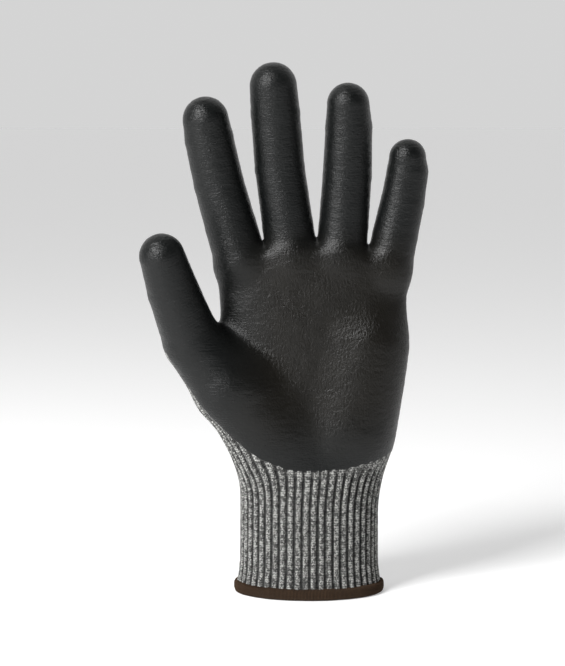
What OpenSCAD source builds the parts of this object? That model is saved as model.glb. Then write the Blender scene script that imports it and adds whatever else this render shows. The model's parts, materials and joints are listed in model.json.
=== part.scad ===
/* [Walls] */
// Thickness of the knitted liner
liner_t = 1.0; // [0.8:0.1:1.2]
// Thickness of the dipped coating on the palm side
coat_t = 0.5; // [0.3:0.1:0.6]
// Running gap between a folding segment and the socket that it turns in
fold_gap = 0.3; // [0.3:0.05:0.4]

/* [Fingers] */
// Index finger's root hinge: across the palm, depth and height
index_root = [-36.7, 0, 173.2]; // [-180:0.1:180]
// Index finger's lengths from root to middle hinge, to tip hinge, to the centre of the round tip
index_lengths = [21, 21, 9.2]; // [5:0.1:40]
// Index finger's lean towards the thumb, one angle for each length
index_leans = [15.5, 12, 9]; // [-30:0.5:30]
// Index finger's outer radius at the three hinges and at the tip
index_radii = [12, 11.7, 11.3, 10.7]; // [9:0.1:15]
// Middle finger's root hinge
middle_root = [-10.1, 0, 173.2]; // [-180:0.1:180]
// Middle finger's lengths
middle_lengths = [27, 26, 12.8]; // [5:0.1:40]
// Middle finger's leans
middle_leans = [8, 4.5, 3]; // [-30:0.5:30]
// Middle finger's outer radii
middle_radii = [11.9, 11.6, 11.4, 10.9]; // [9:0.1:15]
// Ring finger's root hinge
ring_root = [15.9, 0, 173.2]; // [-180:0.1:180]
// Ring finger's lengths
ring_lengths = [23.5, 22.5, 10.8]; // [5:0.1:40]
// Ring finger's leans
ring_leans = [-4, -1.5, 1]; // [-30:0.5:30]
// Ring finger's outer radii
ring_radii = [11.6, 11.4, 11, 10.2]; // [9:0.1:15]
// Little finger's root hinge
little_root = [40, 0, 168.5]; // [-180:0.1:180]
// Little finger's lengths
little_lengths = [16.5, 14.5, 6]; // [5:0.1:40]
// Little finger's leans
little_leans = [-12, -8.5, -5]; // [-30:0.5:30]
// Little finger's outer radii
little_radii = [10.7, 10.2, 9.8, 9.1]; // [9:0.1:15]
// Forward curl of a resting finger's base, middle and tip lengths
finger_curls = [3, 7, 12]; // [0:1:15]

/* [Thumb] */
// Thumb's root hinge
thumb_root = [-54, -14, 119.7]; // [-180:0.1:180]
// Thumb's lengths from root to tip hinge and to the centre of the round tip
thumb_lengths = [27.1, 17.4]; // [5:0.1:40]
// Thumb's leans away from the index finger
thumb_leans = [19.7, 15.6]; // [0:0.5:40]
// Thumb's forward curls
thumb_curls = [14, 18]; // [0:1:30]
// Thumb's outer radii
thumb_radii = [13.6, 11.9, 10.8]; // [9:0.1:16]
// Centre of the ball of the thumb
thenar_centre = [-22, -6, 78]; // [-90:0.5:90]
// Radius of the ball of the thumb
thenar_r = 16; // [14:0.5:18]

/* [Folding] */
// How far a finger's root, middle and tip hinges fold towards the palm, in degrees
finger_folds = [60, 70, 35]; // [20:1:90]
// How far the short little finger's hinges fold
little_folds = [58, 58, 30]; // [20:1:90]
// How far a finger's root bends back, in degrees
finger_back = 12; // [0:1:15]
// How far the thumb's root and tip hinges fold, in degrees
thumb_folds = [38, 60]; // [20:1:70]
// How far the wrist bends each way, in degrees
wrist_bend = 35; // [10:1:40]

/* [Cuff] */
// Height of the wrist's bending line above the hem
wrist_z = 50; // [45:1:55]
// Half width of the knitted cuff, over its ribs
cuff_half_w = 33; // [30:0.5:36]
// Half depth of the knitted cuff, over its ribs
cuff_half_d = 23.2; // [20:0.2:26]
// Number of ribs round the cuff
rib_count = 48; // [36:2:60]
// Height of a rib
rib_h = 0.7; // [0.4:0.1:1]
// Height of the sewn hem band
hem_h = 4.6; // [3:0.2:6]
// How far the hem band stands proud of the ribs
hem_proud = 2.4; // [1:0.2:3]
// Number of elastic yarns laid in the cuff
elastic_count = 10; // [4:1:12]

/* [Hidden] */
DIGITS = ["thumb", "index", "middle", "ring", "little"];
LEVELS = ["base", "mid", "tip"];
LAYERS = ["liner", "coating"];
X_AXIS = [1, 0, 0];
// Everything about one digit: name, root, lengths, leans, curls, radii, hinge direction, folds, bend back
// The thumb folds in the plane of its two bones, so both its hinges lie across that plane
thumb_axis = cross(bone(thumb_leans[0], thumb_curls[0]), bone(thumb_leans[1], thumb_curls[1]));
THUMB = ["thumb", thumb_root, thumb_lengths, thumb_leans, thumb_curls, thumb_radii, thumb_axis, thumb_folds, 0];
INDEX = ["index", index_root, index_lengths, index_leans, finger_curls, index_radii, X_AXIS, finger_folds, finger_back];
MIDDLE = ["middle", middle_root, middle_lengths, middle_leans, finger_curls, middle_radii, X_AXIS, finger_folds, finger_back];
RING = ["ring", ring_root, ring_lengths, ring_leans, finger_curls, ring_radii, X_AXIS, finger_folds, finger_back];
LITTLE = ["little", little_root, little_lengths, little_leans, finger_curls, little_radii, X_AXIS, little_folds, finger_back];
FINGERS = [INDEX, MIDDLE, RING, LITTLE];
HAND = concat([THUMB], FINGERS);
function levels_of(digit) = len(digit[2]) == 3 ? LEVELS : ["base", "tip"];

// Walls between the outer surface and the hollow that the hand fills
wall = liner_t + coat_t;
ball_t = 0.8;
// How far a ball runs on below its hinge, as a share of its radius
ball_drop = 0.58;
// Room left over in a notch when the fold is at its limit, in degrees
notch_spare = 6;
coat_wrap = 0.35;
round_fn = 48;
hull_fn = 32;
far = 60;

wrist_oval = [cuff_half_w, cuff_half_d];
cuff_wall = 1.6;
cuff_hollow = wrist_oval - [cuff_wall, cuff_wall];
barrel_outer = cuff_hollow - [fold_gap, fold_gap];
barrel_inner = barrel_outer - [1, 1];
barrel_drop = 9.4;
hem_foot = 1.6;
hem_hollow_step = 0.6;
oval_sides = 96;
yarn_h = 0.6;
yarn_t = 0.4;
yarn_first_z = 7;
yarn_last_z = 40;
knit_grey = [0.46, 0.47, 0.47];
coat_black = [0.12, 0.12, 0.12];
hem_brown = [0.33, 0.2, 0.12];
yarn_pale = [0.75, 0.74, 0.7];
// The coating's lower edge: an arc across the heel of the palm
dip_centre = [3, 119];
dip_r = 60;

function unit(v) = v / norm(v);
// Direction of a bone that leans to the thumb side and curls towards the palm side
function bone(lean, curl) = [-sin(lean) * cos(curl), -sin(curl), cos(lean) * cos(curl)];
function bones(digit) = [for (i = [0 : len(digit[2]) - 1]) bone(digit[3][i], digit[4][i])];
// Hinge points of a digit, root first, and then the centre of its round tip
function points(digit, i = 0) =
    i == 0 ? digit[1] : points(digit, i - 1) + digit[2][i - 1] * bones(digit)[i - 1];
// What is left of v across direction d
function across(v, d) = unit(v - (v * d) * d);
function hinge_axis(digit, i) =
    i == 0 ? unit(digit[6]) : across(digit[6], unit(bones(digit)[i - 1] + bones(digit)[i]));
function oval(half, sides = oval_sides) = [for (i = [0 : sides - 1]) [half[0] * cos(360 * i / sides), half[1] * sin(360 * i / sides)]];
// Ribbed outline: crests on the oval, with valleys rib_h below it
function ribbed(half) = [
    for (i = [0 : rib_count - 1], part = [0 : 3])
        let (a = 360 * (i + part / 4) / rib_count, drop = rib_h * [0, 0.25, 1, 0.25][part])
        [(half[0] - drop) * cos(a), (half[1] - drop) * sin(a)]
];

// Puts its children in a frame whose x is the hinge line, z points out along the bone and -y is the palm side
module in_frame(origin, axis, out) {
    x = unit(axis);
    z = across(out, x);
    y = cross(z, x);
    multmatrix([
        [x[0], y[0], z[0], origin[0]],
        [x[1], y[1], z[1], origin[1]],
        [x[2], y[2], z[2], origin[2]],
        [0, 0, 0, 1]
    ]) children();
}

module at_hinge(digit, i) {
    in_frame(points(digit, i), hinge_axis(digit, i), bones(digit)[i]) children();
}

// A frame along a bone itself, so that a cone can follow it
module at_bone(digit, i) {
    direction = bones(digit)[i];
    in_frame(points(digit, i), across(hinge_axis(digit, i), direction), direction) children();
}

// Round body of one bone's length at a given depth under the outer surface, run on past both ends
module bone_cone(digit, i, depth, start = -1) {
    r0 = digit[5][i] - depth;
    r1 = digit[5][i + 1] - depth;
    length = digit[2][i];
    is_tip = i == len(digit[2]) - 1;
    run_on = is_tip ? 0 : 4;
    slope = (r1 - r0) / length;
    begin = start < 0 ? -run_on - 2 : start;
    at_bone(digit, i) {
        translate([0, 0, begin])
            cylinder(h = length + run_on - begin, r1 = r0 + slope * begin, r2 = r1 + slope * run_on, $fn = round_fn);
        if (is_tip) translate([0, 0, length]) sphere(r1, $fn = round_fn);
    }
}

// Slope of each side of a fold's notch: the two sides meet at the fold's limit, with the spare left over
function notch_slope(digit, i) = (digit[7][i] + notch_spare) / 2;

// The wedge that a segment gives up at its root so that it can fold over its socket
module fold_notch(digit, i) {
    fold = notch_slope(digit, i);
    back = i == 0 && digit[8] > 0 ? digit[8] + 2 : 0;
    at_hinge(digit, i)
        rotate([90, 0, 90])
            linear_extrude(2 * far, center = true)
                polygon([
                    [far, fold_gap + far * tan(back)], [0, fold_gap], [-far, fold_gap + far * tan(fold)],
                    [-far, -far], [far, -far]
                ]);
}

// Everything beyond the hinge at the far end of a segment, out to a reach, with the other side of its notch
module beyond(digit, i, reach = far) {
    at_hinge(digit, i)
        rotate([90, 0, 90])
            linear_extrude(2 * reach, center = true)
                polygon([
                    [reach, -fold_gap / 2], [0, -fold_gap / 2],
                    [-reach, -fold_gap / 2 - reach * tan(notch_slope(digit, i))], [-reach, reach], [reach, reach]
                ]);
}

// Radius of the ball that turns in the socket before it
function ball_r(digit, i) = digit[5][i] - wall - fold_gap;

// Hollow of a segment: the wearer's finger fills it
module segment_hollow(digit, i) {
    inner0 = ball_r(digit, i) - ball_t;
    inner1 = digit[5][i + 1] - wall;
    length = digit[2][i];
    is_tip = i == len(digit[2]) - 1;
    run_on = is_tip ? 0.01 : 4;
    at_bone(digit, i) {
        rotate_extrude($fn = round_fn)
            polygon([[0, 0], [inner0 - 0.2, 0], [inner1, length], [inner1, length + run_on], [0, length + run_on]]);
        if (is_tip) translate([0, 0, length]) sphere(inner1, $fn = round_fn);
    }
    at_bone(digit, i) sphere(inner0, $fn = round_fn);
}

module segment_liner(digit, i) {
    is_tip = i == len(digit[2]) - 1;
    color(knit_grey)
        difference() {
            union() {
                difference() {
                    bone_cone(digit, i, coat_t);
                    fold_notch(digit, i);
                }
                difference() {
                    at_bone(digit, i) sphere(ball_r(digit, i), $fn = round_fn);
                    at_hinge(digit, i)
                        translate([-far, -far, -ball_drop * ball_r(digit, i) - far]) cube([2 * far, 2 * far, far]);
                }
            }
            segment_hollow(digit, i);
            if (!is_tip) beyond(digit, i + 1);
        }
}

// Film over the palm side and flanks of a segment, closed right over its tip
module segment_coating(digit, i) {
    is_tip = i == len(digit[2]) - 1;
    reach = coat_wrap * digit[5][i];
    length = digit[2][i];
    color(coat_black)
        difference() {
            bone_cone(digit, i, 0);
            bone_cone(digit, i, coat_t, -far / 4);
            fold_notch(digit, i);
            if (!is_tip) beyond(digit, i + 1);
            at_bone(digit, i)
                translate([-far, reach, -far])
                    cube([2 * far, far, far + (is_tip ? length : far)]);
        }
}

module root_disc(digit, depth) {
    at_hinge(digit, 0) translate([0, 0, -6]) cylinder(h = 6, r = digit[5][0] - depth, $fn = hull_fn);
}

// Palm at a depth under the outer surface: a web between each two fingers, the thumb's own ray and the heel
module palm_form(depth, wrist_half) {
    for (i = [0 : 2])
        hull() {
            root_disc(FINGERS[i], depth);
            root_disc(FINGERS[i + 1], depth);
            translate([0, 0, wrist_z]) linear_extrude(1) polygon(oval(wrist_half, 40));
        }
    hull() {
        root_disc(THUMB, depth);
        translate(thenar_centre) sphere(thenar_r - depth, $fn = hull_fn);
    }
    hull() {
        translate(thenar_centre) sphere(thenar_r - depth, $fn = hull_fn);
        translate([0, 0, wrist_z]) linear_extrude(1) polygon(oval(wrist_half, 40));
    }
}

// Half profile of the wrist barrel, to be turned about the bending line
function barrel_profile(half) = [for (a = [-90 : 7.5 : 90]) [max(0, half[1] * cos(a)), half[0] * sin(a)]];

module barrel(half) {
    translate([0, 0, wrist_z]) rotate([0, 90, 0]) rotate_extrude($fn = 72) polygon(barrel_profile(half));
}

// The wedges in front and behind that let the palm bend over the cuff: the palm's with side 1, the cuff's with -1
module wrist_notch(side) {
    rise = far * tan((wrist_bend + notch_spare) / 2);
    translate([0, 0, wrist_z])
        rotate([90, 0, 90])
            linear_extrude(4 * far, center = true)
                polygon([
                    [-far, side * (rise + fold_gap)], [0, side * fold_gap], [far, side * (rise + fold_gap)],
                    [far, -side * far], [-far, -side * far]
                ]);
}

module root_slab(digit) {
    beyond(digit, 0, digit[5][0] + 2);
}

module palm_liner() {
    color(knit_grey)
        difference() {
            union() {
                difference() {
                    palm_form(coat_t, wrist_oval);
                    wrist_notch(1);
                }
                difference() {
                    barrel(barrel_outer);
                    translate([-far, -far, wrist_z - barrel_drop - far]) cube([2 * far, 2 * far, far]);
                    translate([-far, -far, wrist_z + barrel_outer[1] / 2]) cube([2 * far, 2 * far, far]);
                }
            }
            palm_form(wall, barrel_inner);
            barrel(barrel_inner);
            for (digit = HAND) {
                root_slab(digit);
                at_hinge(digit, 0) translate([0, 0, -6]) cylinder(h = 20, r = digit[5][0] - wall, $fn = round_fn);
            }
        }
}

// Film over the front of the palm, down to the arc across its heel
module palm_coating() {
    color(coat_black)
        intersection() {
            difference() {
                palm_form(0, wrist_oval + [coat_t, coat_t]);
                palm_form(coat_t, wrist_oval);
                wrist_notch(1);
                for (digit = HAND) root_slab(digit);
            }
            translate([0, 2, 0])
                rotate([90, 0, 0])
                    linear_extrude(far) union() {
                        translate(dip_centre) circle(dip_r, $fn = 96);
                        translate([dip_centre[0] - dip_r - 30, dip_centre[1] - 14]) square([2 * dip_r + 60, 90]);
                    }
        }
}

module cuff_rib_knit() {
    color(knit_grey)
        difference() {
            union() {
                translate([0, 0, hem_foot]) linear_extrude(hem_h - hem_foot) polygon(oval(wrist_oval - [rib_h, rib_h]));
                translate([0, 0, hem_h]) linear_extrude(wrist_z - fold_gap - hem_h) polygon(ribbed(wrist_oval));
            }
            translate([0, 0, -1]) linear_extrude(wrist_z + 2) polygon(oval(cuff_hollow));
            wrist_notch(-1);
        }
}

// Rings of covered elastic that lie against the inside of the cuff and draw it in
module cuff_elastic_yarns() {
    step = (yarn_last_z - yarn_first_z) / (elastic_count - 1);
    color(yarn_pale)
        for (i = [0 : elastic_count - 1])
            translate([0, 0, yarn_first_z + i * step])
                linear_extrude(yarn_h)
                    difference() {
                        polygon(oval(cuff_hollow));
                        polygon(oval(cuff_hollow - [yarn_t, yarn_t], 32));
                    }
}

// Overlock stitching that wraps the cut edge, with a channel that the knit sits in
module hem_overlock_thread() {
    outer = wrist_oval + [hem_proud, hem_proud];
    chamfer = 1.2;
    color(hem_brown)
        difference() {
            union() {
                linear_extrude(hem_h) polygon(oval(outer - [chamfer, chamfer]));
                translate([0, 0, chamfer / 2]) linear_extrude(hem_h - chamfer) polygon(oval(outer));
            }
            translate([0, 0, -1]) linear_extrude(hem_h + 2) polygon(oval(cuff_hollow - [hem_hollow_step, hem_hollow_step]));
            translate([0, 0, hem_foot])
                linear_extrude(hem_h)
                    difference() {
                        polygon(oval(wrist_oval - [rib_h, rib_h]));
                        polygon(oval(cuff_hollow));
                    }
        }
}

hem_overlock_thread();
cuff_elastic_yarns();
cuff_rib_knit();
palm_liner();
palm_coating();
for (digit = HAND)
    for (i = [0 : len(digit[2]) - 1]) {
        name = str(digit[0], "_", levels_of(digit)[i]);
        segment_liner(digit, i);
        segment_coating(digit, i);
    }
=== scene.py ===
import json
import math

import bpy
import numpy as np
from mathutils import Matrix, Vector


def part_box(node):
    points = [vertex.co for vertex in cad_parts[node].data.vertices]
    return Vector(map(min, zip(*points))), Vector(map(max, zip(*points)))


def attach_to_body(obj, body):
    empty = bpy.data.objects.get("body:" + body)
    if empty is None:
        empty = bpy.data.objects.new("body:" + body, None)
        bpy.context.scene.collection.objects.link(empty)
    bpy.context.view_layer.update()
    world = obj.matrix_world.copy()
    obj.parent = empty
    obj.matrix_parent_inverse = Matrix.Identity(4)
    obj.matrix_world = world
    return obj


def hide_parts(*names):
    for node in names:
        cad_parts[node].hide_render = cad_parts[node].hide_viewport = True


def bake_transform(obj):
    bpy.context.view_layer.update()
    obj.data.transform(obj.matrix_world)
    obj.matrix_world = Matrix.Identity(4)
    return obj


# Cut resistant glove. One smooth hand form gives the glove's skin, which is then cut into a knitted liner
# and a dipped coating for each length between two hinges. All shaping is in millimetres, in the CAD's frame.
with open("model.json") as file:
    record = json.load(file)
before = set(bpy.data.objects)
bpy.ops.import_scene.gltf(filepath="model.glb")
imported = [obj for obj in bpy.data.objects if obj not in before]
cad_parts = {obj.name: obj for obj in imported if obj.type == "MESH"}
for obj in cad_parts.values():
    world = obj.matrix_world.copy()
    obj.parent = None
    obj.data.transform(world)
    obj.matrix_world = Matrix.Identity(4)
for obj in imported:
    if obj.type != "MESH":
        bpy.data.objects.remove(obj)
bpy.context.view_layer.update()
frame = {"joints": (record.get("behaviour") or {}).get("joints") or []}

MM = 0.001
FINGERS = ["index", "middle", "ring", "little"]
DIGITS = ["thumb"] + FINGERS
HINGE = {j["name"]: np.array(j["pos_m"], float) / MM for j in frame["joints"]}

# Outer radius of each digit at its hinges and at its round tip
RADII = {
    "thumb": (13.6, 11.9, 10.5),
    "index": (12.0, 11.7, 11.3, 10.7),
    "middle": (11.9, 11.6, 11.4, 10.9),
    "ring": (11.6, 11.4, 10.9, 9.8),
    "little": (10.7, 10.2, 9.6, 8.6),
}
# Sideways step of each round tip from its finger's line
TIP_SHIFT = {"thumb": -0.3, "index": -0.1, "middle": -0.2, "ring": -0.6, "little": -0.8}
# Palm and cuff: height, thumb-side edge, little-finger-side edge, half depth, depth of the middle
STATIONS = [
    (-6, -35.4, 35.2, 24.2, 0),
    (3, -34.9, 34.7, 23.9, 0),
    (12, -33.2, 33.0, 23.2, 0),
    (44, -32.9, 33.0, 23.0, 0),
    (60, -33.4, 36.2, 21.0, -0.5),
    (78, -36, 39.0, 18.5, -1.0),
    (104, -39, 43.2, 15.8, -1.5),
    (124, -41, 45.0, 14.2, -1.5),
    (145, -42.4, 45.6, 12.9, -1.0),
    (160, -45.5, 48.6, 12.0, -0.5),
    (172, -48.5, 50.6, 11.6, 0),
]
STATION_BLUR = 4.0
# Height of the palm's rounded top at its middle, and how fast it falls away to each side
PALM_TOP = 165.0
PALM_TOP_FALL = 0.0042
# Balls of the thumb and of the little finger's side: centre and radius at each end
THENAR = [((-20.6, -7, 76), 14.6), ((-37.6, -11, 98.5), 17.0)]
HYPOTHENAR = [((22.5, -6.6, 78), 12.8), ((29, -4.2, 116), 12.0)]
# How softly the fingers' webs and the thumb run into the palm
WEB_BLEND = 4.5
THUMB_BLEND = 9.0

# Grid steps of the skin and of the lining, before the skin's quads are split
GRID = 1.1
INNER_GRID = 2.2
WALL = 1.5
# How far the coating stands proud of the bare knit
COAT_RISE = 0.38
RIBS = 48
RIB_DEPTH = 1.05
# Knit: wales are its columns of stitches and courses its rows
WALES_PER_RIB = 3
COURSE = 1.15
FINGER_WALES = 40
CUFF_TOP = 60.0
# Height where the skin's cuff zone, which bends at the wrist, gives way to the palm zone
CUFF_ZONE_TOP = 68
HEM_HEIGHT = 5.3
# Strands of overlock thread round the hem, and elastic yarns inside the cuff
STRANDS = 330
ELASTICS = 10
# How far past its root hinge a digit's own zone starts, and the share of a bone where the next zone starts
ROOT_CUT = {"thumb": 2.4, "index": 0.5, "middle": 0.5, "ring": 0.5, "little": 0.5}
SPLIT = {"root": 0.58, "middle": 0.5}
# Lower edge of the coating: its lowest height, then each side's rise, half width and power
DIP = 60.6
DIP_THUMB_SIDE = (29.0, 49, 2.1)
DIP_LITTLE_SIDE = (5.6, 35, 2.2)


# Numbers on arrays of points

def blend_steps(x, low, high):
    t = np.clip((x - low) / (high - low), 0, 1)
    return t * t * (3 - 2 * t)


def smooth_min(a, b, k):
    h = np.clip(0.5 + 0.5 * (b - a) / k, 0, 1)
    return b + (a - b) * h - k * h * (1 - h)


def smooth_max(a, b, k):
    return -smooth_min(-a, -b, k)


def unit(v):
    return v / np.linalg.norm(v)


def lattice(cells, seed):
    """A repeatable random number from 0 to 1 for each whole-number cell."""
    n = cells[:, 0] * 374761393 + cells[:, 1] * 668265263 + cells[:, 2] * 2147483647 + seed * 144665
    n = (n ^ (n >> 13)) * 1274126177
    n = n ^ (n >> 16)
    return (n & 0xFFFFFF) / float(0xFFFFFF)


def noise(points, size, seed):
    """Smooth value noise from -1 to 1 with lumps about size across."""
    p = points / size
    base = np.floor(p).astype(np.int64)
    f = p - base
    f = f * f * (3 - 2 * f)
    total = np.zeros(len(p))
    for corner in np.ndindex(2, 2, 2):
        c = np.array(corner)
        weight = np.prod(np.where(c == 1, f, 1 - f), axis=1)
        total += weight * lattice(base + c, seed)
    return 2 * total - 1


# The hand form

def smooth_table():
    """The stations resampled every half millimetre and blurred, so that the outline has no corners."""
    rows = np.array(STATIONS, float)
    z = np.arange(-6, 190, 0.5)
    reach = int(3 * STATION_BLUR / 0.5)
    kernel = np.exp(-0.5 * (np.arange(-reach, reach + 1) * 0.5 / STATION_BLUR) ** 2)
    kernel /= kernel.sum()
    table = [z]
    for column in rows.T[1:]:
        padded = np.pad(np.interp(z, rows[:, 0], column), reach, mode="edge")
        table.append(np.convolve(padded, kernel, mode="valid"))
    return np.array(table)


TABLE = smooth_table()


def section(z):
    """Middle x, half width, half depth, middle y and squareness of the palm's section at each height."""
    left, right, depth, middle_y = (np.interp(z, TABLE[0], TABLE[i]) for i in range(1, 5))
    return (left + right) / 2, (right - left) / 2, depth, middle_y, 2 + 0.5 * blend_steps(z, 50, 110)


def chain_points(digit):
    """Hinge centres of a digit, root first, then the centre of its round tip, from the CAD tip's box."""
    names = ["root", "tip"] if digit == "thumb" else ["root", "middle", "tip"]
    points = [HINGE[f"{digit}_{name}_bend"] for name in names]
    low, high = (np.array(corner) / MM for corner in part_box(f"{digit}_tip_coating"))
    radius = RADII[digit][-1]
    slope = (points[-1] - points[-2]) / (points[-1] - points[-2])[2]
    rise = high[2] - radius - points[-1][2]
    tip = points[-1] + 0.75 * slope * rise + np.array([TIP_SHIFT[digit], 0, 0])
    tip[1], tip[2] = low[1] + radius, high[2] - radius
    return points + [tip]


CHAIN = {digit: chain_points(digit) for digit in DIGITS}
BONE = {d: [unit(b - a) for a, b in zip(c[:-1], c[1:])] for d, c in CHAIN.items()}
LENGTH = {d: [np.linalg.norm(b - a) for a, b in zip(c[:-1], c[1:])] for d, c in CHAIN.items()}


def rounded_cone(p, a, b, ra, rb):
    a, b = np.array(a, float), np.array(b, float)
    ab = b - a
    t = np.clip((p - a) @ ab / (ab @ ab), 0, 1)
    return np.linalg.norm(p - a - t[:, None] * ab, axis=1) - (ra + (rb - ra) * t)


def digit_form(p, digit):
    points, radii = CHAIN[digit], RADII[digit]
    parts = [
        rounded_cone(p, points[i], points[i + 1], radii[i], radii[i + 1]) for i in range(len(points) - 1)
    ]
    if digit != "thumb":
        heel = points[0] - 17 * BONE[digit][0] + np.array([0, -1.6, 0])
        parts.insert(0, rounded_cone(p, heel, points[0], radii[0] + 0.2, radii[0]))
    total = parts[0]
    for part in parts[1:]:
        total = smooth_min(total, part, 0.5)
    return total


def palm_form(p):
    x0, a, b, y0, n = section(p[:, 2])
    x, y = np.abs(p[:, 0] - x0) + 1e-6, np.abs(p[:, 1] - y0) + 1e-6
    k = ((x / a) ** n + (y / b) ** n) ** (1 / n)
    slope = k ** (1 - n) * np.sqrt((x ** (n - 1) / a**n) ** 2 + (y ** (n - 1) / b**n) ** 2)
    side = (k - 1) / np.maximum(slope, 1e-3)
    top = PALM_TOP - PALM_TOP_FALL * p[:, 0] ** 2
    return smooth_max(side, p[:, 2] - top, 6)


def hand_form(p):
    """Signed distance to the glove's outer skin, in millimetres: below zero inside."""
    (ca, ra), (cb, rb) = THENAR
    (cc, rc), (cd, rd) = HYPOTHENAR
    total = palm_form(p)
    total = smooth_min(total, rounded_cone(p, cc, cd, rc, rd), 16)
    thenar = smooth_min(
        rounded_cone(p, ca, cb, ra, rb), rounded_cone(p, cb, CHAIN["thumb"][0], rb, RADII["thumb"][0]), 3
    )
    thumb = smooth_min(thenar, digit_form(p, "thumb"), 2)
    soft = THUMB_BLEND + 9 * (1 - blend_steps(p[:, 2], 96, 126))
    total = smooth_min(total, thumb, soft)
    fingers = digit_form(p, "index")
    for digit in FINGERS[1:]:
        fingers = smooth_min(fingers, digit_form(p, digit), 1.6)
    return smooth_min(total, fingers, WEB_BLEND)


def distance_and_slope(p, form):
    h = 0.05
    d = form(p)
    g = np.stack([form(p + h * np.eye(3)[i]) - d for i in range(3)], axis=1) / h
    return d, g / np.maximum((g * g).sum(1), 1e-6)[:, None]


def pull_to_surface(p, form, rounds):
    for _ in range(rounds):
        d, g = distance_and_slope(p, form)
        p = p - np.clip(d, -1.5, 1.5)[:, None] * g
    return p


# Meshing

def surface_net(form, step, low, high):
    """Quads over the form's zero surface, one vertex to each grid cell that it crosses."""
    size = np.ceil((high - low) / step).astype(int) + 1
    axes = [low[i] + step * np.arange(size[i]) for i in range(3)]
    slabs = []
    for z in axes[2]:
        x, y = np.meshgrid(axes[0], axes[1], indexing="ij")
        slab = np.stack([x.ravel(), y.ravel(), np.full(x.size, z)], axis=1)
        slabs.append(form(slab).reshape(size[0], size[1]))
    values = np.stack(slabs, axis=2)
    inside = values < 0
    count = sum(
        inside[i : size[0] - 1 + i, j : size[1] - 1 + j, k : size[2] - 1 + k].astype(int)
        for i, j, k in np.ndindex(2, 2, 2)
    )
    active = (count > 0) & (count < 8)
    index = np.full(active.shape, -1)
    index[active] = np.arange(active.sum())
    cells = np.argwhere(active)
    total, hits = np.zeros((len(cells), 3)), np.zeros(len(cells))
    for axis in range(3):
        along = np.eye(3, dtype=int)[axis]
        others = [np.eye(3, dtype=int)[i] for i in range(3) if i != axis]
        for i, j in np.ndindex(2, 2):
            a = cells + i * others[0] + j * others[1]
            b = a + along
            va, vb = values[tuple(a.T)], values[tuple(b.T)]
            crossing = (va < 0) != (vb < 0)
            t = np.where(crossing, va / np.where(va == vb, 1, va - vb), 0)
            total += np.where(crossing[:, None], a + t[:, None] * along, 0)
            hits += crossing
    points = low + step * total / hits[:, None]
    faces = []
    for axis in range(3):
        u, v = (axis + 1) % 3, (axis + 2) % 3
        first = [slice(None)] * 3
        second = [slice(None)] * 3
        first[axis], second[axis] = slice(0, -1), slice(1, None)
        a, b = inside[tuple(first)], inside[tuple(second)]
        edges = np.argwhere(a != b)
        above = (edges[:, u] > 0) & (edges[:, v] > 0)
        below = (edges[:, u] < size[u] - 1) & (edges[:, v] < size[v] - 1)
        edges = edges[above & below]
        du, dv = np.eye(3, dtype=int)[u], np.eye(3, dtype=int)[v]
        quad = np.stack(
            [index[tuple(c.T)] for c in (edges - du - dv, edges - dv, edges, edges - du)], axis=1
        )
        solid_first = a[tuple(edges.T)]
        faces.append(np.where(solid_first[:, None], quad, quad[:, ::-1]))
    return points, np.concatenate(faces)


def edges_of(faces):
    pairs = np.stack([faces, np.roll(faces, -1, axis=1)], axis=2).reshape(-1, 2)
    return np.unique(np.sort(pairs, axis=1), axis=0, return_inverse=True)


def relax(points, faces, form, rounds):
    """Evens out the net along the surface."""
    edges, _ = edges_of(faces)
    for _ in range(rounds):
        total, hits = np.zeros_like(points), np.zeros(len(points))
        for a, b in ((0, 1), (1, 0)):
            np.add.at(total, edges[:, a], points[edges[:, b]])
            np.add.at(hits, edges[:, a], 1)
        rim = hits < 4
        moved = 0.5 * points + 0.5 * total / np.maximum(hits, 1)[:, None]
        points = pull_to_surface(np.where(rim[:, None], points, moved), form, 1)
    return points


def split_quads(points, faces):
    """Each quad into four."""
    edges, where = edges_of(faces)
    middle = points[edges].mean(1)
    centre = points[faces].mean(1)
    n, m = len(points), len(edges)
    e = where.reshape(-1, 4) + n
    c = np.arange(len(faces)) + n + m
    quads = [np.stack([faces[:, i], e[:, i], c, e[:, i - 1]], axis=1) for i in range(4)]
    return np.concatenate([points, middle, centre]), np.concatenate(quads)


# Where each point is on the glove

def along(p, digit, i):
    """How far along a digit's bone each point is, from 0 at its hinge to 1 at the next."""
    return (p - CHAIN[digit][i]) @ BONE[digit][i] / LENGTH[digit][i]


def zones(p):
    """The name of the zone that each point belongs to: cuff, palm, or a digit's root, middle or tip."""
    forms = np.stack([digit_form(p, digit) for digit in DIGITS])
    nearest = forms.argmin(0)
    zone = np.where(p[:, 2] < CUFF_ZONE_TOP, "cuff", "palm").astype("U16")
    for i, digit in enumerate(DIGITS):
        above = (p - CHAIN[digit][0]) @ BONE[digit][0]
        mine = (nearest == i) & (above > ROOT_CUT[digit]) & (forms[i] < 4)
        zone[mine] = f"{digit}_root"
        if digit == "thumb":
            zone[mine & (along(p, digit, 0) > SPLIT["root"])] = "thumb_tip"
            continue
        beyond = mine & (along(p, digit, 0) > SPLIT["root"])
        zone[beyond] = f"{digit}_middle"
        zone[beyond & (along(p, digit, 1) > SPLIT["middle"])] = f"{digit}_tip"
    return zone


def digit_frame(digit, i):
    """Sideways and backward directions of a bone, so that an angle of zero faces the palm side."""
    bone = BONE[digit][i]
    back = np.array([0.0, 1.0, 0.0]) if digit != "thumb" else np.array([-0.55, 0.8, 0.1])
    side = unit(np.cross(back, bone))
    return side, unit(np.cross(bone, side))


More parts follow.
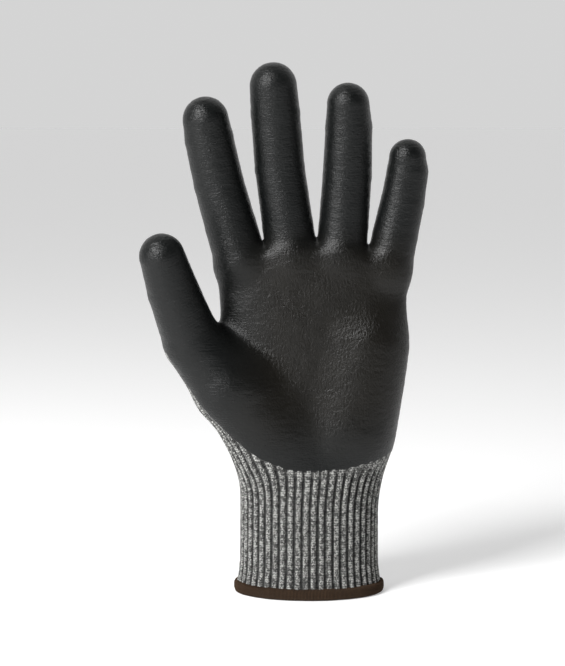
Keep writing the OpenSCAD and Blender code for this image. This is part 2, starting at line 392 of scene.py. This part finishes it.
def arc_share(angle, flat):
    """Share of the way round an oval of that flatness, by its arc, at a given drawing angle."""
    steps = np.linspace(-math.pi, math.pi, 721)
    speed = np.sqrt(np.sin(steps) ** 2 + (flat * np.cos(steps)) ** 2)
    run = np.concatenate([[0], np.cumsum((speed[1:] + speed[:-1]) / 2)])
    return np.interp(angle, steps, run / run[-1])


def knit_place(p, zone):
    """Wale number across and course number along the knit, for points of one zone."""
    if zone in ("cuff", "palm"):
        x0, a, b, y0, _ = section(p[:, 2])
        angle = np.arctan2((p[:, 1] - y0) / b, (p[:, 0] - x0) / a)
        high = blend_steps(p[:, 2], 50, 120)
        share = (1 - high) * arc_share(angle, 0.70) + high * arc_share(angle, 0.36)
        return share * RIBS * WALES_PER_RIB, p[:, 2] / COURSE, RIBS * WALES_PER_RIB
    digit = zone.split("_")[0]
    points = CHAIN[digit]
    run = np.zeros(len(p))
    angle = np.zeros(len(p))
    total = 0.0
    for i in range(len(points) - 1):
        side, back = digit_frame(digit, i)
        rel = p - points[i]
        t = rel @ BONE[digit][i]
        here = t > 0 if i else np.ones(len(p), bool)
        run = np.where(here, total + t, run)
        angle = np.where(here, np.arctan2(rel @ back, rel @ side), angle)
        total += LENGTH[digit][i]
    return angle / (2 * math.pi) * FINGER_WALES, run / COURSE, FINGER_WALES


def back_side(p, zone_names):
    """How far behind its own middle each point is: -1 on the palm side, 1 on the back."""
    _, _, b, y0, _ = section(p[:, 2])
    value = (p[:, 1] - y0) / b
    for digit in DIGITS:
        for i in range(len(CHAIN[digit]) - 1):
            _, back = digit_frame(digit, i)
            t = along(p, digit, i)
            mine = np.char.startswith(zone_names, digit + "_") & ((t > 0) | (i == 0))
            value = np.where(mine, (p - CHAIN[digit][i]) @ back / RADII[digit][i], value)
    palm = (zone_names == "palm") | (zone_names == "cuff")
    near = np.where(palm, ball_share(p), 0)
    return value * (1 - near) + ball_side(p) * near


def ball_axis(p):
    """The nearest point on the ball of the thumb's axis, and the radius there."""
    (a, ra), (b, rb) = THENAR
    c, rc = CHAIN["thumb"][0], RADII["thumb"][0]
    best, foot, radius = np.full(len(p), np.inf), np.zeros_like(p), np.zeros(len(p))
    for (start, r0), (end, r1) in (((a, ra), (b, rb)), ((b, rb), (c, rc))):
        start, line = np.array(start, float), np.array(end, float) - np.array(start, float)
        t = np.clip((p - start) @ line / (line @ line), 0, 1)
        point = start + t[:, None] * line
        gap = np.linalg.norm(p - point, axis=1) - (r0 + (r1 - r0) * t)
        closer = gap < best
        best = np.where(closer, gap, best)
        foot = np.where(closer[:, None], point, foot)
        radius = np.where(closer, r0 + (r1 - r0) * t, radius)
    return best, foot, radius


def ball_share(p):
    """One on the ball of the thumb, falling to nothing away from it and from its upper half."""
    gap, foot, _ = ball_axis(p)
    return (1 - blend_steps(gap, 0.5, 6)) * blend_steps(foot[:, 2], 84, 104)


def ball_side(p):
    _, foot, radius = ball_axis(p)
    _, back = digit_frame("thumb", 0)
    return ((p - foot) @ back) / radius


def coated(p, zone_names):
    """Above zero where the coating is: palm side and flanks, over the tips, down to an arc at the heel."""
    side = back_side(p, zone_names)
    palm = (zone_names == "palm") | (zone_names == "cuff")
    wander = 0.8 * noise(p, 8, 3) + 0.35 * noise(p, 2.6, 4)
    on_ball = ball_share(p)
    palm_limit = 0.12 + 0.22 * on_ball + 0.4 * blend_steps(p[:, 2], 145, 168) * (1 - on_ball)
    edge = (np.where(palm, palm_limit, 0.34) - side) * 12 + wander
    for digit in DIGITS:
        last = len(CHAIN[digit]) - 2
        over_tip = ((p - CHAIN[digit][-1]) @ BONE[digit][last]) * 0.8 + 1.2 * wander - 0.5
        mine = zone_names == f"{digit}_tip"
        edge = np.where(mine, np.maximum(edge, over_tip), edge)
    share, _, _ = knit_place(p, "palm")
    scallop = 0.28 * np.cos(2 * math.pi * share / WALES_PER_RIB)
    x = p[:, 0]
    rises = [rise * (np.abs(x) / half) ** power for rise, half, power in (DIP_THUMB_SIDE, DIP_LITTLE_SIDE)]
    dip = DIP + np.where(x < 0, *rises)
    heel = p[:, 2] - dip + scallop + 0.6 * wander
    return np.where(palm, np.minimum(edge, heel), edge)


def rib_fade(p):
    """One on the cuff, falling to nothing where the ribs run out into plain knit."""
    thumb_side = blend_steps(-p[:, 0], 5, 35)
    return 1 - blend_steps(p[:, 2], CUFF_TOP - 4 + 4 * thumb_side, CUFF_TOP + 6 + 60 * thumb_side)


def relief(p, zone_names, coat):
    """How far each point of the skin stands off the plain form."""
    height = np.zeros(len(p))
    liner = 1 - blend_steps(coat, -0.35, 0.15)
    for zone in np.unique(zone_names):
        mine = zone_names == zone
        u, v, _ = knit_place(p[mine], zone)
        wale = 0.5 - 0.5 * np.cos(2 * math.pi * u)
        stitch = 0.5 + 0.5 * np.cos(2 * math.pi * (v + 0.5 * np.abs(((u % 1) - 0.5))))
        plain = 0.16 * wale + 0.07 * stitch * wale
        course = 0.035 * np.cos(2 * math.pi * v + 1.5 * noise(p[mine], 5, 8))
        if zone in ("cuff", "palm"):
            phase = (u / WALES_PER_RIB) % 1
            groove = np.abs(phase - 0.5) * 2
            rib = -RIB_DEPTH * blend_steps(groove, 0.34, 0.90) + 0.12 * stitch
            fade = rib_fade(p[mine])
            plain = plain * (1 - fade) + rib * fade
            sway = 2.5 * noise(p[mine] * np.array([1, 1, 0.25]), 3, 9)
            columns = 0.018 * np.cos(2 * math.pi * u * 2 + sway)
            centre = np.exp(-(((p[mine][:, 0] - 8) / 30) ** 2))
            course = course * (1 - centre) + columns * centre
        height[mine] = liner[mine] * (plain - COAT_RISE) + (1 - liner[mine]) * course
    lumps = 0.10 * noise(p, 12, 1) + 0.04 * noise(p, 4.5, 2)
    wrinkle = 0.07 * noise(p * np.array([0.35, 0.35, 1.0]), 1.6, 5)
    soft = lumps * blend_steps(p[:, 2], 50, 75) + wrinkle * (1 - liner)
    return height + soft


# Making Blender objects

def new_mesh(name, points, faces, uv, attributes, normals):
    """A mesh of quads in metres, with a knit UV map and rest coordinates for its materials."""
    used, local = np.unique(faces, return_inverse=True)
    faces = local.reshape(-1, 4)
    mesh = bpy.data.meshes.new(name)
    mesh.vertices.add(len(used))
    mesh.vertices.foreach_set("co", (points[used] * MM).astype(np.float32).ravel())
    mesh.loops.add(faces.size)
    mesh.loops.foreach_set("vertex_index", faces.ravel().astype(np.int32))
    mesh.polygons.add(len(faces))
    mesh.polygons.foreach_set("loop_start", np.arange(0, faces.size, 4, dtype=np.int32))
    mesh.update(calc_edges=True)
    layer = mesh.uv_layers.new(name="Knit")
    layer.data.foreach_set("uv", uv.reshape(-1, 2).astype(np.float32).ravel())
    for key, values in attributes.items():
        kind, field = ("FLOAT_VECTOR", "vector") if values.ndim == 2 else ("FLOAT", "value")
        layer = mesh.attributes.new(key, kind, "POINT")
        layer.data.foreach_set(field, values[used].astype(np.float32).ravel())
    mesh.shade_smooth()
    if normals is not None:
        mesh.normals_split_custom_set_from_vertices(normals[used].tolist())
    mesh.validate()
    obj = bpy.data.objects.new(name, mesh)
    bpy.context.scene.collection.objects.link(obj)
    return obj


def vertex_normals(points, faces):
    cross = np.cross(points[faces[:, 2]] - points[faces[:, 0]], points[faces[:, 3]] - points[faces[:, 1]])
    normals = np.zeros_like(points)
    for i in range(4):
        np.add.at(normals, faces[:, i], cross)
    return normals / np.maximum(np.linalg.norm(normals, axis=1), 1e-9)[:, None]


def knit_uv(points, faces, zone):
    """UVs in wales and courses for each face corner, with no face stretched over the seam."""
    used, local = np.unique(faces, return_inverse=True)
    u, v, period = knit_place(points[used], zone)
    u = u[local].reshape(-1, 4)
    v = v[local].reshape(-1, 4)
    wrapped = u - u.max(1)[:, None] < -period / 2
    return np.stack([u + wrapped * period, v], axis=2)


def attach(obj, zone, nodes):
    if zone == "palm":
        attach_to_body(obj, "palm")
    else:
        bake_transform(obj)
    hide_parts(*nodes)


# Materials

class Nodes:
    """A short way to write a node tree."""

    def __init__(self, name):
        self.material = bpy.data.materials.new(name)
        self.material.use_nodes = True
        self.tree = self.material.node_tree
        self.shader = self.tree.nodes["Principled BSDF"]

    def add(self, kind, inputs=None, **settings):
        node = self.tree.nodes.new(kind)
        for key, value in settings.items():
            setattr(node, key, value)
        for key, value in (inputs or {}).items():
            if hasattr(value, "is_output"):
                self.tree.links.new(value, node.inputs[key])
            else:
                node.inputs[key].default_value = value
        return node

    def math(self, operation, a, b=0.0, c=0.0):
        return self.add("ShaderNodeMath", {0: a, 1: b, 2: c}, operation=operation).outputs[0]

    def mix(self, factor, a, b):
        node = self.add("ShaderNodeMix", {0: factor, 6: a, 7: b}, data_type="RGBA")
        return node.outputs[2]

    def noise(self, vector, scale, detail=2.0, rough=0.5):
        inputs = {"Vector": vector, "Scale": scale, "Detail": detail, "Roughness": rough}
        return self.add("ShaderNodeTexNoise", inputs).outputs["Fac"]

    def ramp(self, value, low, high):
        inputs = {"Value": value, "From Min": low, "From Max": high}
        return self.add("ShaderNodeMapRange", inputs, interpolation_type="SMOOTHSTEP").outputs[0]

    def stretch(self, vector, scale):
        node = self.add("ShaderNodeVectorMath", {0: vector, 1: scale}, operation="MULTIPLY")
        return node.outputs[0]

    def attribute(self, name):
        return self.add("ShaderNodeAttribute", attribute_name=name)

    def bump(self, height, strength, distance):
        inputs = {"Height": height, "Strength": strength, "Distance": distance}
        return self.add("ShaderNodeBump", inputs).outputs[0]

    def link(self, value, socket):
        self.tree.links.new(value, self.shader.inputs[socket])


def knit_material(name, light, dark):
    """Salt-and-pepper yarn: knit stitches along the wales, and painted shade that darkens the cuff's rib
    grooves to near black.
    """
    n = Nodes(name)
    uv = n.add("ShaderNodeUVMap", uv_map="Knit").outputs[0]
    split = n.add("ShaderNodeSeparateXYZ", {0: uv})
    across, along_knit = split.outputs[0], split.outputs[1]
    rest = n.attribute("rest").outputs["Vector"]
    # groove marks the cuff's rib grooves, where the colour gets painted shade
    groove = n.attribute("groove").outputs["Fac"]
    phase = n.math("FRACT", across)
    leg = n.math("ABSOLUTE", n.math("SUBTRACT", phase, 0.5))
    slant = n.math("ADD", along_knit, n.math("MULTIPLY", leg, 1.1))
    chevron = n.math("SINE", n.math("MULTIPLY", slant, 2 * math.pi))
    stitch = n.math("MULTIPLY_ADD", chevron, 0.5, 0.5)
    gap = n.ramp(n.math("ABSOLUTE", n.math("SUBTRACT", leg, 0.25)), 0.25, 0.12)
    yarn = n.math("MULTIPLY", n.math("POWER", stitch, 0.6), gap)
    fleck = n.noise(n.stretch(rest, (1.0, 1.0, 0.7)), 1250.0, 3.0, 0.75)
    coarse = n.noise(rest, 520.0, 2.0, 0.6)
    salt = n.ramp(n.math("ADD", fleck, n.math("MULTIPLY", coarse, 0.45)), 0.67, 0.79)
    lit_yarn = n.math("MULTIPLY_ADD", yarn, 0.75, 0.25)
    lit_salt = n.math("MULTIPLY_ADD", salt, 0.85, 0.15)
    shade = n.math("MULTIPLY", lit_yarn, lit_salt)
    colour = n.mix(shade, dark, light)
    # Painted shade: the knit's colour is darkened towards black in the rib grooves, where the ribs shade
    # them
    colour = n.mix(n.math("MULTIPLY", groove, 0.93), colour, (0.008, 0.008, 0.008, 1))
    n.link(colour, "Base Color")
    height = n.math("MULTIPLY_ADD", yarn, 1.0, n.math("MULTIPLY", fleck, 0.5))
    n.link(n.bump(height, 0.9, 0.0004), "Normal")
    n.shader.inputs["Roughness"].default_value = 0.9
    n.shader.inputs["Specular IOR Level"].default_value = 0.2
    n.shader.inputs["Sheen Weight"].default_value = 0.12
    n.shader.inputs["Sheen Roughness"].default_value = 0.5
    return n.material


def coating_material():
    """Black dipped coating: semi-matte, with the knit's courses and columns just showing through."""
    n = Nodes("dipped_coating")
    uv = n.add("ShaderNodeUVMap", uv_map="Knit").outputs[0]
    rest = n.attribute("rest").outputs["Vector"]
    warm = n.attribute("warm").outputs["Fac"]
    lines = n.noise(n.stretch(uv, (0.45, 1.5, 1.0)), 1.0, 3.0, 0.66)
    columns = n.noise(n.stretch(uv, (2.0, 0.55, 1.0)), 1.0, 3.0, 0.66)
    grain = n.noise(rest, 1000.0, 3.0, 0.64)
    blotch = n.noise(rest, 90.0, 3.0, 0.6)
    relief_height = n.add("ShaderNodeMix", {0: warm, 2: lines, 3: columns}, data_type="FLOAT").outputs[0]
    height = n.math("MULTIPLY_ADD", grain, 0.8, relief_height)
    n.link(n.bump(height, 0.7, 0.00045), "Normal")
    cool = n.mix(blotch, (0.0030, 0.0036, 0.0036, 1), (0.0052, 0.0059, 0.0058, 1))
    brown = n.mix(blotch, (0.0050, 0.0044, 0.0034, 1), (0.0080, 0.0070, 0.0052, 1))
    n.link(n.mix(warm, cool, brown), "Base Color")
    gloss = n.math("MULTIPLY_ADD", grain, 0.5, n.math("MULTIPLY", blotch, 0.5))
    n.link(n.ramp(gloss, -0.85, 2.7), "Roughness")
    n.shader.inputs["Specular IOR Level"].default_value = 0.27
    return n.material


def thread_material(name, light, dark):
    n = Nodes(name)
    rest = n.attribute("rest").outputs["Vector"]
    strand = n.attribute("strand").outputs["Fac"]
    fuzz = n.noise(rest, 1900.0, 3.0, 0.7)
    patch = n.noise(rest, 240.0, 2.0, 0.5)
    uneven = n.math("MULTIPLY_ADD", fuzz, 0.4, n.math("MULTIPLY", patch, 0.3))
    shade = n.ramp(n.math("MULTIPLY_ADD", strand, 0.55, uneven), 0.2, 1.1)
    n.link(n.mix(shade, dark, light), "Base Color")
    n.link(n.bump(n.math("MULTIPLY_ADD", fuzz, 0.4, strand), 0.5, 0.00025), "Normal")
    n.shader.inputs["Roughness"].default_value = 0.85
    n.shader.inputs["Specular IOR Level"].default_value = 0.2
    n.shader.inputs["Sheen Weight"].default_value = 0.04
    return n.material


COATING = coating_material()
KNIT = knit_material("melange_knit", (0.68, 0.68, 0.65, 1), (0.005, 0.005, 0.005, 1))
BROWN = thread_material("brown_overlock_thread", (0.050, 0.027, 0.013, 1), (0.003, 0.0017, 0.0009, 1))
PALE = thread_material("covered_elastic", (0.62, 0.60, 0.55, 1), (0.30, 0.29, 0.27, 1))


# The skin and its pieces

def layer_nodes(zone, layer):
    """The CAD nodes that a piece of the skin stands for."""
    if zone == "cuff":
        return ["cuff_rib_knit"] if layer == "liner" else ["palm_coating"]
    if zone == "palm":
        return [f"palm_{layer}"]
    digit, part = zone.split("_")
    level = {"root": "base", "middle": "mid", "tip": "tip"}[part]
    return [f"{digit}_{level}_{layer}"]


def build_skin():
    low, high = np.array([-86.0, -42.0, 1.5]), np.array([62.0, 28.0, 254.0])
    points, faces = surface_net(hand_form, GRID, low, high)
    points = pull_to_surface(points, hand_form, 2)
    points = relax(points, faces, hand_form, 2)
    points, faces = split_quads(points, faces)
    points = pull_to_surface(points, hand_form, 2)
    _, slope = distance_and_slope(points, hand_form)
    outward = slope / np.linalg.norm(slope, axis=1)[:, None]
    zone = zones(points)
    coat = coated(points, zone)
    shaped = points + relief(points, zone, coat)[:, None] * outward
    normals = vertex_normals(shaped, faces)
    centre = points[faces].mean(1)
    face_zone = zones(centre)
    face_coat = coated(centre, face_zone) > 0
    u, _, _ = knit_place(points, "palm")
    fold = np.abs(((u / WALES_PER_RIB) % 1) - 0.5) * 2
    attributes = {
        "rest": points * MM,
        # groove: where the knit gets painted shade in the rib grooves, fading out with the ribs and above
        # 118 mm
        "groove": blend_steps(fold, 0.46, 0.74) * rib_fade(points) * (points[:, 2] < 118),
        "warm": palm_warmth(points),
    }
    for name in np.unique(face_zone):
        for layer in ("liner", "coating"):
            mine = (face_zone == name) & (face_coat == (layer == "coating"))
            if not mine.any():
                continue
            part = faces[mine]
            uv = knit_uv(points, part, name)
            obj = new_mesh(f"{name}_{layer}_skin", shaped, part, uv, attributes, normals)
            obj.data.materials.append(COATING if layer == "coating" else KNIT)
            attach(obj, name, layer_nodes(name, layer))


def palm_warmth(p):
    """How brown the black looks: most in the middle of the palm, least on the fingers."""
    upward = blend_steps(p[:, 2], 60, 95) * (1 - blend_steps(p[:, 2], 150, 178))
    return upward * blend_steps(p[:, 0], -45, -10)


def inner_form(p):
    return hand_form(p) + WALL


def build_lining():
    """The inside of the knit, seen through the cuff's mouth."""
    low, high = np.array([-84.0, -40.0, 2.0]), np.array([60.0, 27.0, 252.0])
    points, faces = surface_net(inner_form, INNER_GRID, low, high)
    points = pull_to_surface(points, inner_form, 2)
    faces = faces[:, ::-1]
    face_zone = zones(points[faces].mean(1))
    # The lining gets no painted shade in rib grooves
    attributes = {"rest": points * MM, "groove": np.zeros(len(points))}
    normals = vertex_normals(points, faces)
    for name in np.unique(face_zone):
        part = faces[face_zone == name]
        obj = new_mesh(f"{name}_inside", points, part, knit_uv(points, part, name), attributes, normals)
        obj.data.materials.append(KNIT)
        attach(obj, name, layer_nodes(name, "liner"))


def oval_ring(name, count, profile, attributes_of, material):
    """A closed band round the cuff: profile(angles) gives, row by row, points round its section."""
    angles = np.linspace(0, 2 * math.pi, count, endpoint=False)
    rows = profile(angles)
    rings = len(rows)
    points = np.stack(rows, axis=1).reshape(-1, 3)
    i, j = np.meshgrid(np.arange(count), np.arange(rings), indexing="ij")
    a = i * rings + j
    b = ((i + 1) % count) * rings + j
    c = ((i + 1) % count) * rings + (j + 1) % rings
    d = i * rings + (j + 1) % rings
    faces = np.stack([a, b, c, d], axis=2).reshape(-1, 4)
    uv = np.stack([points[faces][:, :, 0] / COURSE, points[faces][:, :, 2] / COURSE], axis=2)
    obj = new_mesh(name, points, faces, uv, attributes_of(points, angles), None)
    obj.data.materials.append(material)
    return obj


def cuff_outline(angles, z, grow):
    """Points of the cuff's oval at a height, moved out by grow."""
    x0, a, b, y0, _ = section(np.full(len(angles), float(z)))
    normal = np.stack([np.cos(angles) / a, np.sin(angles) / b], axis=1)
    normal /= np.linalg.norm(normal, axis=1)[:, None]
    x = x0 + a * np.cos(angles) + grow * normal[:, 0]
    y = y0 + b * np.sin(angles) + grow * normal[:, 1]
    return np.stack([x, y, np.full(len(angles), float(z))], axis=1)


def hem_strand(angles, turn):
    """Height of the overlock strands at a turn round the hem's section: each crosses at a slight slant."""
    return np.abs(np.cos(STRANDS / 2 * angles + 1.1 * turn))


def build_hem():
    turns = np.linspace(0, 2 * math.pi, 28, endpoint=False)

    def profile(angles):
        rows = []
        sway = 0.25 * np.sin(9 * angles + 1.3) + 0.18 * np.sin(23 * angles)
        for turn in turns:
            middle = HEM_HEIGHT / 2
            bulge = np.sign(math.sin(turn)) * abs(math.sin(turn)) ** 0.75
            z = middle + middle * bulge
            out = -0.85 + 1.75 * np.sign(math.cos(turn)) * abs(math.cos(turn)) ** 0.8
            strand = hem_strand(angles, turn)
            ring = cuff_outline(angles, 3.0, out - 0.12 + 0.28 * strand + 0.3 * sway * (math.cos(turn) > 0))
            lift = np.where(z > middle, 0.5 * sway + 0.2 * strand, 0.0)
            ring[:, 2] = np.maximum(z + lift, 0.02 + 0.1 * (1 - strand))
            rows.append(ring)
        return rows

    def attributes_of(points, angles):
        strand = np.stack([hem_strand(angles, turn) for turn in turns], axis=1).ravel()
        return {"rest": points * MM, "strand": strand}

    obj = oval_ring("brown_overlocked_hem", STRANDS * 5, profile, attributes_of, BROWN)
    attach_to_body(obj, "cuff")
    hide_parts("hem_overlock_thread")


def build_elastics():
    """Covered elastic yarns laid against the inside of the cuff."""
    low = np.array(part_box("cuff_elastic_yarns"))[0] / MM
    turns = np.linspace(0, 2 * math.pi, 8, endpoint=False)
    for i, z in enumerate(np.linspace(low[2] + 0.3, 36.0, ELASTICS)):

        def profile(angles, z=z):
            rows = []
            for turn in turns:
                ring = cuff_outline(angles, z, -WALL - 0.25 + 0.35 * math.cos(turn))
                ring[:, 2] += 0.35 * math.sin(turn) + 0.15 * np.sin(5 * angles + z)
                rows.append(ring)
            return rows

        def attributes_of(points, angles):
            return {"rest": points * MM, "strand": np.full(len(points), 0.7)}

        obj = oval_ring(f"elastic_yarn_{i + 1:02d}", 160, profile, attributes_of, PALE)
        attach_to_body(obj, "cuff")
        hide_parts("cuff_elastic_yarns")


# Studio

def build_floor():
    bpy.ops.mesh.primitive_circle_add(vertices=96, radius=25, fill_type="NGON")
    floor = bpy.context.object
    floor.name = "floor"
    material = bpy.data.materials.new("pale_floor")
    material.use_nodes = True
    shader = material.node_tree.nodes["Principled BSDF"]
    shader.inputs["Base Color"].default_value = (0.86, 0.86, 0.86, 1)
    shader.inputs["Emission Color"].default_value = (1, 1, 1, 1)
    shader.inputs["Emission Strength"].default_value = 0.28
    shader.inputs["Roughness"].default_value = 0.9
    shader.inputs["Specular IOR Level"].default_value = 0.1
    floor.data.materials.append(material)


def add_area(name, place, target, size, watts):
    light = bpy.data.lights.new(name, "AREA")
    light.shape = "RECTANGLE"
    light.size, light.size_y = size
    light.energy = watts
    obj = bpy.data.objects.new(name, light)
    obj.location = place
    aim = np.array(target) - np.array(place)
    obj.rotation_euler = look_angles(aim)
    bpy.context.scene.collection.objects.link(obj)


def look_angles(aim):
    flat = math.hypot(aim[0], aim[1])
    return (math.atan2(flat, -aim[2]), 0, math.atan2(-aim[0], aim[1]))


def build_studio():
    world = bpy.data.worlds.new("studio")
    world.use_nodes = True
    tree = world.node_tree
    tree.nodes["Background"].inputs["Color"].default_value = (1, 1, 1, 1)
    direction = tree.nodes.new("ShaderNodeTexCoord").outputs["Generated"]
    split = tree.nodes.new("ShaderNodeSeparateXYZ")
    tree.links.new(direction, split.inputs[0])
    level = tree.nodes.new("ShaderNodeMapRange")
    level.interpolation_type = "SMOOTHSTEP"
    for socket, value in (("From Min", -0.3), ("From Max", 0.5), ("To Min", 0.07), ("To Max", 0.86)):
        level.inputs[socket].default_value = value
    tree.links.new(split.outputs[1], level.inputs["Value"])
    seen = tree.nodes.new("ShaderNodeMix")
    seen.inputs[3].default_value = 0.66
    tree.links.new(tree.nodes.new("ShaderNodeLightPath").outputs["Is Camera Ray"], seen.inputs[0])
    tree.links.new(level.outputs[0], seen.inputs[2])
    tree.links.new(seen.outputs[0], tree.nodes["Background"].inputs["Strength"])
    bpy.context.scene.world = world
    middle = (-0.01, 0, 0.13)
    add_area("key", (-0.64, -0.72, 0.86), middle, (0.46, 0.50), 19)
    add_area("side", (-0.95, -0.75, 0.36), middle, (0.35, 0.70), 3.5)
    bpy.context.scene.view_settings.view_transform = "Standard"
    build_floor()


def build_camera():
    """Level with the glove's middle, a metre away and six degrees up, as the photo looks."""
    distance, rise = 1.0, math.radians(6)
    target = np.array([-0.0126, 0, 0.1229])
    seen_width = 0.2655
    place = target + distance * np.array([0, -math.cos(rise), math.sin(rise)])
    camera = bpy.data.cameras.new("camera")
    camera.sensor_fit = "HORIZONTAL"
    camera.sensor_width = 36
    camera.lens = 36 * distance / seen_width
    camera.clip_end = 60
    obj = bpy.data.objects.new("camera", camera)
    obj.location = place
    obj.rotation_euler = look_angles(target - place)
    bpy.context.scene.collection.objects.link(obj)
    bpy.context.scene.camera = obj


build_camera()
build_studio()
build_skin()
build_lining()
build_hem()
build_elastics()
